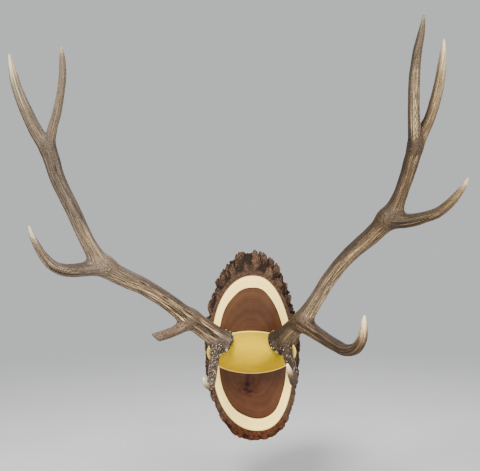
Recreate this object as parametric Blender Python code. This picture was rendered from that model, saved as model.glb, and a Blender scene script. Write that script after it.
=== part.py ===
# Elk antler mount: two antlers on a skull plate, under a hide cover, on an oval bark-edged walnut slice.
# Metres, +Z up. The slice's flat back lies in the plane Y = 0 and the antlers reach towards -Y.
# The origin is on that back, behind the middle of the hide cover. Left and right are as the viewer sees them.

import bpy
import bmesh
from math import ceil, cos, exp, hypot, pi, sin
from mathutils import Vector

MM = 0.001
GAP = 0.3 * MM

# Walnut slice, cut slantwise from a log, so that its back sits higher than its face
SLICE_THICKNESS = 25 * MM
SLICE_RISE = 30 * MM
FACE_CENTRE = Vector((1.5 * MM, -2.4 * MM))
FACE_HALF_WIDTH = 94.2 * MM
FACE_HALF_HEIGHT = 181 * MM
FACE_SQUARENESS = 0.91
FACE_LEAN = 0.03
FACE_BOW = 7 * MM
FACE_EGG = 0.045
BARK_SIDE = 16 * MM
BARK_TOP = 28 * MM
BARK_BOTTOM = 29 * MM
FURROW_PITCH = 17 * MM
FURROW_DEPTH = 6 * MM
BARK_LUMP = 2.5 * MM
BARK_SEGMENTS = 148
BARK_LAYERS = ((1.0, 0.0, 0.0), (0.8, 0.9, 1.0), (0.42, 1.06, 1.0), (0.0, 0.94, 0.9))

# Skull plate, and the hide drawn over it
COVER_HALF_WIDTH = 105 * MM
COVER_HALF_HEIGHT = 50 * MM
COVER_HEIGHT = 50 * MM
COVER_THICKNESS = 2.2 * MM
COVER_ROUNDNESS = 2.4
COVER_FULLNESS = 0.62
COLLAR_CENTRE = Vector((53 * MM, 22 * MM))
COLLAR_HEIGHT = 15 * MM
COLLAR_WIDTH = 21 * MM
DOME_RINGS = (0.36, 0.62, 0.8, 0.92, 1.0)
DOME_SEGMENTS = 32

# Burrs, where each antler meets its pedicle
BURR_RADIUS = 25.5 * MM
BURR_PEARL = 2.6 * MM
BURR_PEARLS = 13
BURR_SEGMENTS = 39
BURR_THICKNESS = 11 * MM
BURR_BASE = 7 * MM
BURR_PROFILE = ((0.0, 0.82, 0.4), (0.3, 1.0, 1.0), (0.7, 0.97, 0.9), (1.0, 0.76, 0.2))
PEDICLE_RADIUS = 20 * MM
PEDICLE_LENGTH = 34 * MM
PEDICLE_SIDES = 16
BURR_ROOM = 60 * MM
HOLE_START = 4 * MM
HOLLOW_FOOT = 5 * MM

# Antler surface
BEAM_SIDES = 12
TINE_SIDES = 10
BEAM_RING = 21 * MM
TINE_RING = 21 * MM
FLUTE = 0.045
FLUTE_TWIST = 2.2

# The slanting face where the left bez tine broke off: a point on it and the way it faces
BREAK_POINT = Vector((-211, -184, 54)) * MM
BREAK_FACING = Vector((-0.64, -0.3, -0.71))

# Keyhole hanger and the two screws that hold the skull plate
HANGER_HEIGHT = 120 * MM
HANGER_LENGTH = 52 * MM
HANGER_WIDTH = 20 * MM
HANGER_THICKNESS = 2 * MM
KEYHOLE_RADIUS = 5.5 * MM
KEYHOLE_SLOT = 2.8 * MM
KEYHOLE_TRAVEL = 11 * MM
POCKET_DEPTH = 12 * MM
POCKET_RADIUS = 7.5 * MM
HANGER_SCREW_OFFSET = 20 * MM
HANGER_SCREW = (2.0 * MM, 3.6 * MM, 12 * MM)
PLATE_SCREW_OFFSET = 32 * MM
PLATE_SCREW = (2.6 * MM, 5.2 * MM, 44 * MM)
SCREW_RIM = 0.4 * MM
SCREW_SIDES = 12
ROD_SIDES = 16
SLOT_END_POINTS = 9

# Centrelines: each station is x, y, z and the radius there, in millimetres, from the root to the tip.
# A beam's first station is the middle of its burr; FORKS gives the stations where its main forks are.
LEFT_BEAM = (
    (-65, -78, 33, 22.5), (-99, -108, 59, 22), (-125, -130, 81, 21), (-151, -150, 102, 19),
    (-182, -172, 129, 17.6), (-236, -207, 167, 18), (-266, -222, 182, 19), (-311, -246, 211, 19.5),
    (-338, -266, 254, 15.6), (-366, -286, 321, 15), (-396, -300, 388, 15.2), (-415, -310, 450, 16.5),
    (-435, -315, 481, 13.8), (-453, -322, 520, 12.4), (-472, -330, 571, 10.2), (-480, -333, 607, 7.6),
    (-485, -335, 634, 2.5),
)
LEFT_FORKS = (7, 11)
LEFT_TINES = {
    "left_crown_inner_tine": ((-413, -312, 448, 12.5), (-401, -330, 485, 9.6), (-389, -344, 516, 8.9),
                              (-380, -356, 547, 7.8), (-373, -366, 584, 7.1), (-372, -372, 615, 5.7),
                              (-373, -376, 639, 2.2)),
    "left_trez_tine": ((-308, -248, 211, 18.5), (-350, -266, 204, 14.8), (-382, -284, 203, 12.9),
                       (-405, -298, 212, 10.8), (-424, -310, 234, 8.9), (-436, -320, 258, 7),
                       (-444, -327, 279, 5), (-447, -331, 292, 2.2)),
    "left_bez_stub": ((-136, -141, 91, 16.5), (-150, -149, 76, 13), (-172, -160, 64, 11.2),
                      (-206, -181, 54, 10.6)),
    "left_brow_tine": ((-78, -92, 37, 15.5), (-82, -120, 9, 11.2), (-86, -158, -17, 9.8),
                       (-87, -202, -37, 8.2), (-88, -232, -42, 7.3), (-93, -260, -38.5, 6.3),
                       (-98.5, -280, -29, 5.3), (-101, -290, -18, 2.6)),
}
RIGHT_BEAM = (
    (61, -78, 31, 22.5), (88, -108, 60, 21), (115, -132, 92, 19), (140, -156, 133, 16.2),
    (163, -176, 174, 15.9), (184, -194, 206, 15.9), (212, -212, 239, 16.4), (255, -234, 279, 18.6),
    (289, -252, 321, 19.4), (303, -264, 355, 14.9), (313, -274, 387, 14.6), (324, -288, 431, 15.7),
    (333, -298, 466, 15.8), (355, -303, 508, 11.2), (367, -306, 546, 10.9), (375, -307, 581, 10.4),
    (381, -307, 622, 8.6), (384, -306, 653, 5.6), (385, -305, 671, 2.2),
)
RIGHT_FORKS = (8, 12)
RIGHT_TINES = {
    "right_crown_inner_tine": ((328, -298, 452, 13), (320, -326, 500, 12), (316, -344, 543, 11.2),
                               (315, -356, 586, 10.6), (319, -366, 635, 8.6), (325, -371, 666, 6.9),
                               (330, -375, 702, 2.2)),
    "right_trez_tine": ((279, -251, 308, 19), (318, -268, 305, 15), (351, -286, 312, 11.6),
                        (374, -300, 321, 10.6), (396, -312, 340, 9.2), (411, -321, 359, 7.3),
                        (421, -327, 376, 5.3), (427, -331, 387, 2.2)),
    "right_bez_tine": ((111, -138, 80, 18.5), (138, -158, 62, 15.4), (156, -178, 51, 14),
                       (178, -202, 39, 13.3), (197, -226, 32, 12.7), (214, -248, 38, 12.2),
                       (224, -264, 56, 10.7), (227, -276, 78, 9), (227, -283, 96, 6.3), (227, -287, 109, 2.4)),
    "right_brow_tine": ((73, -92, 33, 15.5), (81, -120, 4, 11.8), (86, -156, -15, 10.5),
                        (88, -196, -30, 9.2), (86, -232, -34, 8.6), (79, -264, -16, 7.3),
                        (73, -284, 0, 5.9), (69.5, -294, 11, 2.6)),
}


def material(name, colour, roughness, metallic=0.0):
    made = bpy.data.materials.new(name)
    made.use_nodes = True
    shader = made.node_tree.nodes["Principled BSDF"]
    shader.inputs["Base Color"].default_value = (*colour, 1.0)
    shader.inputs["Roughness"].default_value = roughness
    shader.inputs["Metallic"].default_value = metallic
    return made


def solid(name, mesh_builder, finish):
    """One named object from a filled bmesh, with its normals facing out."""
    bmesh.ops.recalc_face_normals(mesh_builder, faces=mesh_builder.faces)
    mesh = bpy.data.meshes.new(name)
    mesh_builder.to_mesh(mesh)
    mesh_builder.free()
    made = bpy.data.objects.new(name, mesh)
    bpy.context.scene.collection.objects.link(made)
    if finish:
        made.data.materials.append(finish)
    return made


def helper(made):
    """Marks a cutter or a shape that is joined into another, so that it isn't a piece of the mount."""
    made.hide_render = True
    made.display_type = "WIRE"
    return made


def boolean(target, other, operation):
    modifier = target.modifiers.new(operation.title(), "BOOLEAN")
    modifier.operation = operation
    modifier.object = other
    modifier.solver = "EXACT"


def bridge(mesh_builder, lower, upper):
    """Quads between two rings that have the same number of points."""
    for i in range(len(lower)):
        j = (i + 1) % len(lower)
        mesh_builder.faces.new((lower[i], lower[j], upper[j], upper[i]))


def loft(name, rings, finish):
    """A closed solid through rings of points, with a flat cap on each end."""
    mesh_builder = bmesh.new()
    made = [[mesh_builder.verts.new(point) for point in ring] for ring in rings]
    for lower, upper in zip(made, made[1:]):
        bridge(mesh_builder, lower, upper)
    mesh_builder.faces.new(made[0][::-1])
    mesh_builder.faces.new(made[-1])
    return solid(name, mesh_builder, finish)


def cylinder(name, start, end, radius, sides=ROD_SIDES):
    """A round bar between two points, as a cutter or a shape to join."""
    axis = (end - start).normalized()
    across = axis.orthogonal().normalized()
    over = axis.cross(across)
    turns = [2 * pi * i / sides for i in range(sides)]
    rings = [
        [point + (across * cos(turn) + over * sin(turn)) * radius for turn in turns]
        for point in (start, end)
    ]
    return loft(name, rings, None)


def between(a, b, ta, tb, t):
    return a.lerp(b, (t - ta) / (tb - ta))


def curve_point(four, t):
    """A point of the centripetal Catmull-Rom curve through the middle two of four stations, t from 0 to 1."""
    knots = [0.0]
    for a, b in zip(four, four[1:]):
        knots.append(knots[-1] + max((b - a).xyz.length, 0.001 * MM) ** 0.5)
    t0, t1, t2, t3 = knots
    t = t1 + (t2 - t1) * t
    a1 = between(four[0], four[1], t0, t1, t)
    a2 = between(four[1], four[2], t1, t2, t)
    a3 = between(four[2], four[3], t2, t3, t)
    b1 = between(a1, a2, t0, t2, t)
    b2 = between(a2, a3, t1, t3, t)
    return between(b1, b2, t1, t2, t)


def smooth_line(stations, spacing):
    """Points x, y, z, radius along the smooth curve through the stations, and the index of each station."""
    s = [Vector(station) * MM for station in stations]
    s = [2 * s[0] - s[1], *s, 2 * s[-1] - s[-2]]
    line, index = [], []
    for i in range(1, len(s) - 2):
        steps = max(1, ceil((s[i + 1] - s[i]).xyz.length / spacing))
        index.append(len(line))
        line += [curve_point(s[i - 1:i + 3], k / steps) for k in range(steps)]
    index.append(len(line))
    line.append(s[-2])
    return line, index


def frames(line):
    """Centre, two directions across, radius and distance along, at each point of a line."""
    made, along = [], 0.0
    across = None
    for i, p in enumerate(line):
        a, b = line[max(i - 1, 0)].xyz, line[min(i + 1, len(line) - 1)].xyz
        tangent = (b - a).normalized()
        if across is None:
            across = tangent.cross(Vector((0, 0, 1))).normalized()
        across = (across - tangent * across.dot(tangent)).normalized()
        made.append((p.xyz, across, tangent.cross(across), tangent, p.w, along))
        along += (line[min(i + 1, len(line) - 1)].xyz - p.xyz).length
    return made


def ring_of(frame, sides, extra=0.0, shift=0.0):
    """A ring of points across an antler, with raised ridges that wind slowly along it."""
    centre, across, over, tangent, radius, along = frame
    ring = []
    for i in range(sides):
        angle = 2 * pi * i / sides
        flute = FLUTE * (1 if i % 2 else -1) * (0.6 + 0.4 * sin(5 * angle + 30 * along))
        turned = angle + FLUTE_TWIST * along
        r = radius * (1 + flute) + extra
        ring.append(centre + tangent * shift + (across * cos(turned) + over * sin(turned)) * r)
    return ring


def broken_end(ring, tangent):
    """The last ring of the broken tine, slid along it onto the slanting break."""
    lean = tangent.dot(BREAK_FACING)
    return [point + tangent * ((BREAK_POINT - point).dot(BREAK_FACING) / lean) for point in ring]


def antler_tube(name, line_frames, sides, finish, extra=0.0, start_shift=0.0, end_shift=0.0, broken=False):
    rings = [ring_of(f, sides, extra) for f in line_frames]
    rings[0] = ring_of(line_frames[0], sides, extra, start_shift)
    rings[-1] = ring_of(line_frames[-1], sides, extra, -end_shift)
    if broken:
        rings[-1] = broken_end(rings[-1], line_frames[-1][3])
    return loft(name, rings, finish)


def burr(name, frame, extra, finish):
    """The knobbly coronet round an antler's base, on the plane square to the beam."""
    centre, across, over, tangent = frame[:4]
    base = centre - tangent * BURR_BASE
    rings = []
    for height, width, pearl in BURR_PROFILE:
        ring = []
        for i in range(BURR_SEGMENTS):
            angle = 2 * pi * i / BURR_SEGMENTS
            lump = BURR_PEARL * pearl * (0.5 + 0.5 * cos(BURR_PEARLS * angle) + 0.35 * sin(3 * angle))
            r = BURR_RADIUS * width + lump + extra
            h = BURR_THICKNESS * height + (extra if height > 0.5 else -extra)
            ring.append(base + tangent * h + (across * cos(angle) + over * sin(angle)) * r)
        rings.append(ring)
    return loft(name, rings, finish)


def antler(side, beam, forks, tines, bone):
    """The beam in three pieces between its main forks, and each side tine, cut to fit against the beam."""
    line, index = smooth_line(beam, BEAM_RING)
    along = frames(line)
    centre, across, over, tangent, radius, start = along[0]
    along[0] = (centre - tangent * (BURR_BASE - MM), across, over, tangent, radius, start)
    first, second = (index[i] for i in forks)
    lower = antler_tube(side + "_lower_beam", along[:first + 1], BEAM_SIDES, bone, end_shift=GAP / 2)
    antler_tube(side + "_upper_beam", along[first:second + 1], BEAM_SIDES, bone,
                start_shift=GAP / 2, end_shift=GAP / 2)
    antler_tube(side + "_crown_outer_tine", along[second:], BEAM_SIDES, bone, start_shift=GAP / 2)
    base = (centre, across, over, tangent)
    boolean(lower, helper(burr(side + "_burr_shape", base, 0.0, bone)), "UNION")
    beam_cutter = helper(antler_tube(side + "_beam_cutter", along, BEAM_SIDES, None, extra=GAP))
    burr_cutter = helper(burr(side + "_burr_cutter", base, GAP, None))
    for name, stations in tines.items():
        tine_line, _ = smooth_line(stations, TINE_RING)
        tine = antler_tube(name, frames(tine_line), TINE_SIDES, bone, broken="stub" in name)
        boolean(tine, beam_cutter, "DIFFERENCE")
        if "brow" in name:
            boolean(tine, burr_cutter, "DIFFERENCE")
    return centre - tangent * BURR_BASE, tangent


def dome_point(rho, angle, inset):
    """A point of the dome over the skull. Inset says how far it lies inside the hide's outer face."""
    x, z = COVER_HALF_WIDTH * rho * cos(angle), COVER_HALF_HEIGHT * rho * sin(angle)
    rise = COVER_HEIGHT * (1 - rho ** COVER_ROUNDNESS) ** COVER_FULLNESS
    for side in (-1, 1):
        away = hypot(x - side * COLLAR_CENTRE.x, z - COLLAR_CENTRE.y)
        rise += COLLAR_HEIGHT * exp(-0.5 * (away / COLLAR_WIDTH) ** 2) * (1 - rho ** 6)
    return Vector((x * (1 - inset / COVER_HALF_WIDTH),
                   -SLICE_THICKNESS - GAP - rise * (1 - inset / COVER_HEIGHT),
                   z * (1 - inset / COVER_HALF_HEIGHT)))


def dome(name, inset, foot, finish):
    """The domed solid of the skull plate, of the hide on it or of the hollow in the hide."""
    mesh_builder = bmesh.new()
    turns = [2 * pi * i / DOME_SEGMENTS for i in range(DOME_SEGMENTS)]
    rings = [
        [mesh_builder.verts.new(dome_point(rho, turn, inset)) for turn in turns]
        for rho in DOME_RINGS
    ]
    top = mesh_builder.verts.new(dome_point(0.0, 0.0, inset))
    for i in range(DOME_SEGMENTS):
        mesh_builder.faces.new((top, rings[0][i], rings[0][(i + 1) % DOME_SEGMENTS]))
    for inner, outer in zip(rings, rings[1:]):
        bridge(mesh_builder, inner, outer)
    rim = rings[-1]
    if foot:
        rim = [mesh_builder.verts.new(v.co + Vector((0, foot, 0))) for v in rings[-1]]
        bridge(mesh_builder, rings[-1], rim)
    bmesh.ops.triangulate(mesh_builder, faces=mesh_builder.faces, quad_method="FIXED")
    mesh_builder.faces.new(rim)
    return solid(name, mesh_builder, finish)


def skull_and_hide(burrs, bone, hide):
    """The bone plate that carries both antlers, and the hide over it with a hole round each pedicle."""
    plate = dome("skull_plate", COVER_THICKNESS + GAP, 0.0, bone)
    cover = dome("hide_cover", 0.0, 0.0, hide)
    hollow = helper(dome("hide_hollow", COVER_THICKNESS, HOLLOW_FOOT, None))
    boolean(cover, hollow, "DIFFERENCE")
    for i, (base, direction) in enumerate(burrs):
        root = base - direction * PEDICLE_LENGTH
        end = base - direction * GAP
        pedicle = cylinder(f"pedicle_{i}", root, end, PEDICLE_RADIUS, sides=PEDICLE_SIDES)
        boolean(plate, helper(pedicle), "UNION")
        hole = cylinder(f"pedicle_hole_{i}", root - direction * HOLE_START, end + direction * BURR_ROOM,
                        PEDICLE_RADIUS + GAP, sides=PEDICLE_SIDES)
        boolean(cover, helper(hole), "DIFFERENCE")
        room = cylinder(f"burr_room_{i}", base - direction * GAP, base + direction * BURR_ROOM,
                        BURR_RADIUS + 3 * BURR_PEARL, sides=PEDICLE_SIDES)
        boolean(cover, helper(room), "DIFFERENCE")
        boolean(plate, room, "DIFFERENCE")
    return plate


def face_outline(angle, extra=0.0):
    """The edge between bark and wood on the face: a full egg, wider below, that leans and bows slightly."""
    across, up = cos(angle), sin(angle)
    half_width = FACE_HALF_WIDTH * (1 - FACE_EGG * up) + extra
    half_height = FACE_HALF_HEIGHT + extra
    x = half_width * abs(across) ** FACE_SQUARENESS * (1 if across > 0 else -1)
    z = half_height * abs(up) ** FACE_SQUARENESS * (1 if up > 0 else -1)
    bow = FACE_BOW * up ** 4
    return Vector((FACE_CENTRE.x - FACE_LEAN * z + bow + x, FACE_CENTRE.y + z))


def bark_depth(angle):
    """Thickness of the bark across the slice's face: more above, where the slant cut spreads it."""
    end = BARK_TOP if sin(angle) > 0 else BARK_BOTTOM
    lump = BARK_LUMP * (sin(4 * angle + 0.7) + 0.7 * sin(7 * angle + 2.0))
    return BARK_SIDE + (end - BARK_SIDE) * sin(angle) ** 4 + lump


def furrow(angle, layer):
    """Depth of the furrow between bark ridges at this place round the slice."""
    run = angle * hypot(FACE_HALF_WIDTH, FACE_HALF_HEIGHT) / 2 ** 0.5
    wander = 1.3 * sin(3.7 * angle + 0.4 * layer) + 0.9 * sin(8.3 * angle + 1.0)
    ridge = abs(sin(pi * run / FURROW_PITCH + wander))
    size = 0.65 + 0.35 * sin(5.1 * angle + 2.1 + 0.3 * layer)
    return FURROW_DEPTH * size * (1 - ridge ** 0.6)


def walnut_slice(wood):
    """The oval slice with its bark on: a flat face, a bevelled and furrowed bark edge, and a flat back."""
    rings = []
    for layer, (depth, spread, cut) in enumerate(BARK_LAYERS):
        y = -SLICE_THICKNESS * depth
        ring = []
        for i in range(BARK_SEGMENTS):
            angle = 2 * pi * i / BARK_SEGMENTS
            out = bark_depth(angle) * spread - furrow(angle, layer) * cut
            x, z = face_outline(angle, out)
            ring.append((x, y, z + SLICE_RISE * (1 + y / SLICE_THICKNESS)))
        rings.append(ring)
    return loft("walnut_slice", rings, wood)


def screw(name, head, direction, size, metal, room=0.0):
    """A countersunk wood screw: flat cone head, shank and point. Room makes it larger all round."""
    shank, head_radius, length = size
    across = direction.orthogonal().normalized()
    over = direction.cross(across)
    profile = (
        (-room, head_radius), (SCREW_RIM + room, head_radius),
        (SCREW_RIM + head_radius - shank + room, shank),
        (length - 2 * shank, shank), (length + room, 0.3 * shank),
    )
    turns = [2 * pi * i / SCREW_SIDES for i in range(SCREW_SIDES)]
    rings = [
        [head + direction * depth + (across * cos(turn) + over * sin(turn)) * (r + room) for turn in turns]
        for depth, r in profile
    ]
    return loft(name, rings, metal)


def round_slot(name, low, high, radius, depth_from, depth_to):
    """A slot with round ends that runs up the back of the slice, as a cutter or a plate."""
    ring = []
    for i in range(2 * SLOT_END_POINTS):
        half_turn, step = divmod(i, SLOT_END_POINTS)
        angle = pi * step / (SLOT_END_POINTS - 1) + pi * half_turn
        end = low if half_turn else high
        ring.append((radius * cos(angle), end + radius * sin(angle)))
    rings = [[(x, y, z) for x, z in ring] for y in (depth_from, depth_to)]
    return loft(name, rings, None)


def hanger(slice_object, steel):
    """A keyhole plate let in flush at the back, with its pocket for the wall screw's head and two screws."""
    half = HANGER_LENGTH / 2 - HANGER_WIDTH / 2
    low, high = HANGER_HEIGHT - half, HANGER_HEIGHT + half
    plate = round_slot("hanger_plate", low, high, HANGER_WIDTH / 2, -HANGER_THICKNESS, -GAP)
    plate.data.materials.append(steel)
    recess = round_slot("plate_recess", low, high, HANGER_WIDTH / 2 + GAP, -HANGER_THICKNESS - GAP, GAP)
    boolean(slice_object, helper(recess), "DIFFERENCE")
    mouth = HANGER_HEIGHT - KEYHOLE_TRAVEL / 2
    pocket = round_slot("screw_head_pocket", mouth, mouth + KEYHOLE_TRAVEL, POCKET_RADIUS, -POCKET_DEPTH, GAP)
    boolean(slice_object, helper(pocket), "DIFFERENCE")
    slot = round_slot("keyhole_slot", mouth, mouth + KEYHOLE_TRAVEL, KEYHOLE_SLOT, -POCKET_DEPTH, MM)
    inner, outer = Vector((0, -POCKET_DEPTH, mouth)), Vector((0, MM, mouth))
    hole = cylinder("keyhole_mouth", inner, outer, KEYHOLE_RADIUS)
    for cutter in (slot, hole):
        boolean(plate, helper(cutter), "DIFFERENCE")
    inward = Vector((0, -1, 0))
    for name, side in (("lower", -1), ("upper", 1)):
        head = Vector((0, -GAP, HANGER_HEIGHT + side * HANGER_SCREW_OFFSET))
        screw(f"hanger_screw_{name}", head, inward, HANGER_SCREW, steel)
        cutter = helper(screw(f"hanger_screw_{name}_room", head, inward, HANGER_SCREW, None, room=GAP))
        for target in (plate, slice_object):
            boolean(target, cutter, "DIFFERENCE")


def plate_screws(slice_object, skull_plate, steel):
    """Two long screws, driven from the back through the slice into the skull plate."""
    inward = Vector((0, -1, 0))
    for name, side in (("left", -1), ("right", 1)):
        head = Vector((side * PLATE_SCREW_OFFSET, -GAP, 0))
        screw(f"plate_screw_{name}", head, inward, PLATE_SCREW, steel)
        cutter = helper(screw(f"plate_screw_{name}_room", head, inward, PLATE_SCREW, None, room=GAP))
        for target in (slice_object, skull_plate):
            boolean(target, cutter, "DIFFERENCE")


def build():
    for old in list(bpy.data.objects):
        bpy.data.objects.remove(old)
    bone = material("antler_bone", (0.30, 0.22, 0.15), 0.6)
    skull_bone = material("skull_bone", (0.72, 0.66, 0.54), 0.65)
    hide = material("tan_hide", (0.72, 0.52, 0.17), 0.7)
    wood = material("walnut", (0.22, 0.12, 0.075), 0.5)
    steel = material("zinc_steel", (0.62, 0.62, 0.6), 0.35, 1.0)
    burrs = [
        antler("left", LEFT_BEAM, LEFT_FORKS, LEFT_TINES, bone),
        antler("right", RIGHT_BEAM, RIGHT_FORKS, RIGHT_TINES, bone),
    ]
    skull_plate = skull_and_hide(burrs, skull_bone, hide)
    slice_object = walnut_slice(wood)
    hanger(slice_object, steel)
    plate_screws(slice_object, skull_plate, steel)


build()
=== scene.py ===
from math import atan2, ceil, cos, exp, hypot, pi, radians, sin

import bmesh
import bpy
import numpy as np
from mathutils import Matrix, Vector, noise


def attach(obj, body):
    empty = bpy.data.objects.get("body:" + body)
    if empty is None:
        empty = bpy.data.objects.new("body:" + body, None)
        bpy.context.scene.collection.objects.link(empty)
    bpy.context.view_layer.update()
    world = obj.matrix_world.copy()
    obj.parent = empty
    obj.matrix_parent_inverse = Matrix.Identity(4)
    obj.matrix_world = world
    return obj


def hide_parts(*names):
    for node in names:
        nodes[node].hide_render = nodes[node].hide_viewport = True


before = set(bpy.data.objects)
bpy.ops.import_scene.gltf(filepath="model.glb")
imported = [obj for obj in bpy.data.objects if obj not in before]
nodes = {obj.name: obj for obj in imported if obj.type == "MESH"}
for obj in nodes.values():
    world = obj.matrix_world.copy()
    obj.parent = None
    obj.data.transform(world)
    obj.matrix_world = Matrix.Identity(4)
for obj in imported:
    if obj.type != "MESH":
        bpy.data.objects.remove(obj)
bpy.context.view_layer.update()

# The two antlers. Each is one grown bone: a beam from the burr up to a crown of two tines, with brow, bez
# and trez tines along it. The surface has long ridges and grooves that held the velvet's blood vessels,
# and grainy pearling low down. The tips were rubbed pale and smooth. The left bez tine is broken short.
MM = 0.001
STATION_STEP = 2.5 * MM
BONE_GRID = 1.4 * MM
FORK_BLEND = 17 * MM
BURR_BLEND = 17 * MM
BURR_RING = 21 * MM
EVEN_RADIUS = 18 * MM
BURR_TUBE = 4.4 * MM
BURR_BASE = 5.5 * MM
BURR_DROP = {"left": np.array((-1, 0, -5)) * MM, "right": np.array((0.5, 0, -3)) * MM}
BREAK_POINT = np.array((-211, -184, 54)) * MM
BREAK_FACING = np.array((-0.64, -0.3, -0.71))
RIDGED_SIDE = {"left": np.array((0.0, -0.8, -0.6)), "right": np.array((0.55, -0.75, -0.35))}
BEZ_RIDGED_SIDE = np.array((-0.4, -0.7, -0.35))

# Centrelines in millimetres: x, y, z and radius, from the root to the tip
LEFT_LINES = {
    "beam": ((-65, -78, 33, 22.5), (-99, -108, 59, 22), (-125, -130, 81, 21), (-151, -150, 102, 19),
             (-182, -172, 129, 17.6), (-236, -207, 167, 18), (-266, -222, 182, 19), (-311, -246, 211, 19.5),
             (-338, -266, 254, 15.6), (-366, -286, 321, 15), (-396, -300, 388, 15.2),
             (-415, -310, 450, 16.5), (-435, -315, 481, 13.8), (-453, -322, 520, 12.4),
             (-472, -330, 571, 10.2), (-480, -333, 607, 7.6), (-485, -335, 634, 2.5)),
    "crown_inner": ((-413, -312, 448, 12.5), (-401, -330, 485, 9.6), (-389, -344, 516, 8.9),
                    (-380, -356, 547, 7.8), (-373, -366, 584, 7.1), (-372, -372, 615, 5.7),
                    (-373, -376, 639, 2.2)),
    "trez": ((-308, -248, 211, 18.5), (-350, -266, 204, 14.8), (-382, -284, 203, 12.9),
             (-405, -298, 212, 10.8), (-424, -310, 234, 8.9), (-436, -320, 258, 7), (-444, -327, 279, 5),
             (-447, -331, 292, 2.2)),
    "bez": ((-136, -141, 91, 16.5), (-150, -149, 76, 13), (-172, -160, 64, 11.2), (-206, -181, 54, 10.6),
            (-226, -194, 49, 10.4)),
    "brow": ((-78, -92, 37, 15.5), (-82, -120, 9, 11.2), (-86, -158, -17, 9.8), (-87, -202, -37, 8.2),
             (-88, -232, -42, 7.3), (-93, -260, -38.5, 6.3), (-98.5, -280, -29, 5.2), (-101, -290, -18, 3)),
}
RIGHT_LINES = {
    "beam": ((61, -78, 31, 22.5), (88, -108, 60, 21), (115, -132, 92, 19), (140, -156, 133, 16.2),
             (163, -176, 174, 15.9), (184, -194, 206, 15.9), (212, -212, 239, 16.4), (255, -234, 279, 18.6),
             (289, -252, 321, 19.4), (303, -264, 355, 14.9), (313, -274, 387, 14.6), (324, -288, 431, 15.7),
             (333, -298, 466, 15.8), (355, -303, 508, 11.2), (367, -306, 546, 10.9), (375, -307, 581, 10.4),
             (381, -307, 622, 8.6), (384, -306, 653, 5.6), (385, -305, 671, 2.2)),
    "crown_inner": ((328, -298, 452, 13), (320, -326, 500, 12), (316, -344, 543, 11.2),
                    (315, -356, 586, 10.6), (319, -366, 635, 8.6), (325, -371, 666, 6.9),
                    (330, -375, 702, 2.2)),
    "trez": ((279, -251, 308, 19), (318, -268, 305, 15), (351, -286, 312, 11.6), (374, -300, 321, 10.6),
             (396, -312, 340, 9.2), (411, -321, 359, 7.3), (421, -327, 376, 5.3), (427, -331, 387, 2.2)),
    "bez": ((111, -138, 80, 18.5), (138, -158, 62, 15.4), (156, -178, 51, 14), (178, -202, 39, 13.3),
            (197, -226, 32, 12.7), (214, -248, 38, 12.2), (224, -264, 56, 10.7), (227, -276, 78, 9),
            (227, -283, 96, 6.3), (227, -287, 109, 2.4)),
    "brow": ((73, -92, 33, 15.5), (81, -120, 4, 11.8), (86, -156, -15, 10.5), (88, -196, -30, 9.2),
             (86, -232, -34, 8.6), (79, -264, -16, 6.9), (73, -284, 0, 5.3), (69.5, -294, 11, 2.8)),
}

# The surface of each line. Every row but the last two holds its values at SHARES of the line's length, or
# one value for the whole line: height of the ridges in millimetres, tone from 0 stained dark to 1 rubbed
# pale, pearling, greyness and warmth. Then come where the ivory tip begins, and how much paler the ridged
# side is than the other.
SHARES = (0, 0.08, 0.2, 0.45, 0.7, 0.86, 1)
BEAM_RIDGES, TINE_RIDGES = 125, 180
LEFT_LOOKS = {
    "beam": dict(
        ridges=(0.3, 1.3, 1.3, 0.5, 0.5, 0.29, 0.1), tones=(0.43, 0.35, 0.28, 0.47, 0.24, 0.39, 0.52),
        pearls=(0.25, 0.2, 0.1, 0, 0, 0, 0), grey=(0.8, 0.6, 0.5, 0.7, 0.7, 0.59, 0.5),
        warm=(0, 0.4, 0.4, 0.1, 0, 0, 0), ivory_from=0.94, lean=0.12),
    "crown_inner": dict(
        ridges=(0.3, 0.3, 0.3, 0.2, 0.2, 0.15, 0.1), tones=(0.35, 0.39, 0.44, 0.46, 0.43, 0.47, 0.5),
        pearls=0, grey=0.75, warm=0, ivory_from=0.97, lean=0.1),
    "trez": dict(
        ridges=(0.2, 0.2, 0.3, 0.7, 0.7, 0.38, 0.1), tones=(0.43, 0.39, 0.3, 0.29, 0.41, 0.51, 0.6),
        pearls=0, grey=0.7, warm=0.1, ivory_from=0.9, lean=0.1),
    "bez": dict(
        ridges=0.3, tones=(0.42, 0.44, 0.46, 0.48, 0.48, 0.48, 0.48),
        pearls=(0.3, 0.35, 0.4, 0.4, 0.4, 0.4, 0.4), grey=0.6, warm=0.6, ivory_from=2, lean=0),
    "brow": dict(
        ridges=(0.2, 0.2, 0.2, 0.2, 0.2, 0.15, 0.1), tones=(0.36, 0.32, 0.3, 0.29, 0.32, 0.38, 0.85),
        pearls=(0.4, 0.9, 1, 1, 0.9, 0.42, 0), grey=0.4, warm=(0.1, 0.1, 0.1, 0.1, 0.3, 0.46, 0.6),
        ivory_from=0.88, lean=0),
}
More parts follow.
